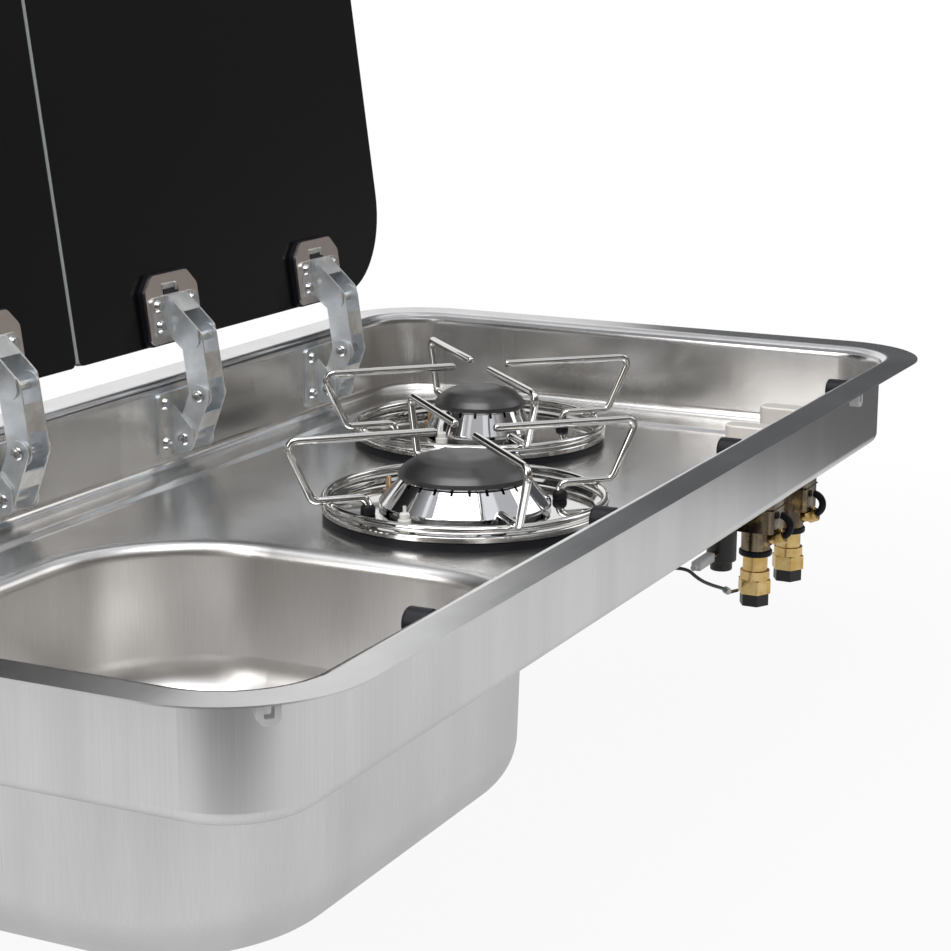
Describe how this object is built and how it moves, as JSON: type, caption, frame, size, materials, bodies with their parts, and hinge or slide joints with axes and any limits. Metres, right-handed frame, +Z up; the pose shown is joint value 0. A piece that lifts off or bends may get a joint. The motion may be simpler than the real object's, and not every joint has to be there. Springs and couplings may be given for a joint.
{
  "type": "hob and sink combo",
  "caption": "Pressed steel worktop unit with a rounded sink bowl, gas burners under wire pan supports, bar knobs and folding black glass lids on linked hinges.",
  "frame": {"origin": "centre of the worktop cut-out, level with the underside of the rim", "axes": "+X along the unit to the hob end, +Y to the lid hinges, +Z up"},
  "size_m": [0.89, 0.477, 0.5972],
  "materials": {
    "deck_steel": "brushed",
    "pressed_chrome": "mirror polish",
    "drain_plastic": "moulded",
    "black_rubber": "matt",
    "cast_alloy": "cast",
    "black_enamel": "satin enamel",
    "ceramic": "glazed",
    "probe_copper": "drawn",
    "brass": "machined",
    "steel": "turned",
    "knob_plastic": "satin moulded",
    "black_plastic": "moulded",
    "pipe_alloy": "drawn",
    "pale_plastic": "moulded",
    "zinc": "bright zinc plate",
    "lid_glass": "tempered, backed black"
  },
  "bodies": {
    "tray": {"deck_pan": "deck_steel", "sink_bowl": "deck_steel", "waste_strainer": "pressed_chrome", "waste_nut": "drain_plastic", "waste_elbow": "drain_plastic", "large_dish_gasket": "black_rubber", "large_dish": "pressed_chrome", "large_burner_base": "cast_alloy", "large_burner_crown": "pressed_chrome", "large_electrode": "ceramic", "large_thermocouple": "probe_copper", "large_valve": "brass", "large_gas_pipe": "pipe_alloy", "small_dish_gasket": "black_rubber", "small_dish": "pressed_chrome", "small_burner_base": "cast_alloy", "small_burner_crown": "pressed_chrome", "small_electrode": "ceramic", "small_thermocouple": "probe_copper", "small_valve": "brass", "small_gas_pipe": "pipe_alloy", "inlet_fittings": "brass", "inlet_nuts": "brass", "inlet_caps": "black_plastic", "pipe_nuts": "brass", "igniter_module": "black_plastic", "ignition_lead": "black_rubber", "lid_bumpers": "black_rubber", "locating_tabs": "pale_plastic", "hinge_wall_brackets": "zinc", "hinge_wall_screws": "steel"},
    "plug": {"sink_plug": "black_rubber"},
    "large_cap": {"large_burner_cap": "black_enamel"},
    "large_support": {"large_pan_support": "pressed_chrome", "large_support_feet": "black_rubber"},
    "large_push": {"large_push_collar": "steel"},
    "large_turn": {"large_knob": "knob_plastic", "large_spindle": "steel"},
    "small_cap": {"small_burner_cap": "black_enamel"},
    "small_support": {"small_pan_support": "pressed_chrome", "small_support_feet": "black_rubber"},
    "small_push": {"small_push_collar": "steel"},
    "small_turn": {"small_knob": "knob_plastic", "small_spindle": "steel"},
    "hob_arms": {"hob_lid_lower_arms": "zinc", "hob_lid_knee_pins": "steel"},
    "hob_links": {"hob_lid_links": "zinc"},
    "hob_lid": {"hob_lid_glass": "lid_glass", "hob_lid_gaskets": "black_rubber", "hob_lid_covers": "zinc", "hob_lid_brackets": "zinc", "hob_lid_screws": "steel"},
    "sink_arms": {"sink_lid_lower_arms": "zinc", "sink_lid_knee_pins": "steel"},
    "sink_links": {"sink_lid_links": "zinc"},
    "sink_lid": {"sink_lid_glass": "lid_glass", "sink_lid_gaskets": "black_rubber", "sink_lid_covers": "zinc", "sink_lid_brackets": "zinc", "sink_lid_screws": "steel"}
  },
  "joints": [
    {"name": "hob_arm_pivot", "type": "hinge", "parent": "tray", "child": "hob_arms", "pos_m": [0.212, 0.185, -0.039], "axis": [1, 0, 0], "range_deg": [0, 79]},
    {"name": "hob_link_pivot", "type": "hinge", "parent": "hob_arms", "child": "hob_links", "pos_m": [0.212, 0.174, -0.01], "axis": [1, 0, 0], "range_deg": [-123, 0]},
    {"name": "hob_lid_pivot", "type": "hinge", "parent": "hob_links", "child": "hob_lid", "pos_m": [0.212, 0.17948, 0.0269], "axis": [1, 0, 0], "range_deg": [0, 141.97]},
    {"name": "sink_arm_pivot", "type": "hinge", "parent": "tray", "child": "sink_arms", "pos_m": [-0.192, 0.185, -0.039], "axis": [1, 0, 0], "range_deg": [0, 79]},
    {"name": "sink_link_pivot", "type": "hinge", "parent": "sink_arms", "child": "sink_links", "pos_m": [-0.192, 0.174, -0.01], "axis": [1, 0, 0], "range_deg": [-123, 0]},
    {"name": "sink_lid_pivot", "type": "hinge", "parent": "sink_links", "child": "sink_lid", "pos_m": [-0.192, 0.17948, 0.0269], "axis": [1, 0, 0], "range_deg": [0, 141.97]},
    {"name": "plug_lift", "type": "slide", "parent": "tray", "child": "plug", "axis": [0, 0, -1], "range_m": [-0.08, 0]},
    {"name": "large_cap_lift", "type": "slide", "parent": "tray", "child": "large_cap", "axis": [0, 0, -1], "range_m": [-0.008, 0]},
    {"name": "large_support_lift", "type": "slide", "parent": "tray", "child": "large_support", "axis": [0, 0, -1], "range_m": [-0.06, 0]},
    {"name": "large_knob_push", "type": "slide", "parent": "tray", "child": "large_push", "axis": [0, 0, -1], "range_m": [0, 0.003], "stiffness_N_per_m": 1200, "springref_m": -0.003},
    {"name": "large_knob_turn", "type": "hinge", "parent": "large_push", "child": "large_turn", "pos_m": [0.25, -0.157, -0.05], "axis": [0, 0, 1], "range_deg": [0, 200]},
    {"name": "small_cap_lift", "type": "slide", "parent": "tray", "child": "small_cap", "axis": [0, 0, -1], "range_m": [-0.008, 0]},
    {"name": "small_support_lift", "type": "slide", "parent": "tray", "child": "small_support", "axis": [0, 0, -1], "range_m": [-0.06, 0]},
    {"name": "small_knob_push", "type": "slide", "parent": "tray", "child": "small_push", "axis": [0, 0, -1], "range_m": [0, 0.003], "stiffness_N_per_m": 1200, "springref_m": -0.003},
    {"name": "small_knob_turn", "type": "hinge", "parent": "small_push", "child": "small_turn", "pos_m": [0.317, -0.157, -0.05], "axis": [0, 0, 1], "range_deg": [0, 200]}
  ],
  "couplings": [
    {"joint": "hob_arm_pivot", "follows": "hob_lid_pivot", "ratio": 0.55627},
    {"joint": "hob_link_pivot", "follows": "hob_lid_pivot", "ratio": -0.866},
    {"joint": "sink_arm_pivot", "follows": "sink_lid_pivot", "ratio": 0.55627},
    {"joint": "sink_link_pivot", "follows": "sink_lid_pivot", "ratio": -0.866}
  ]
}
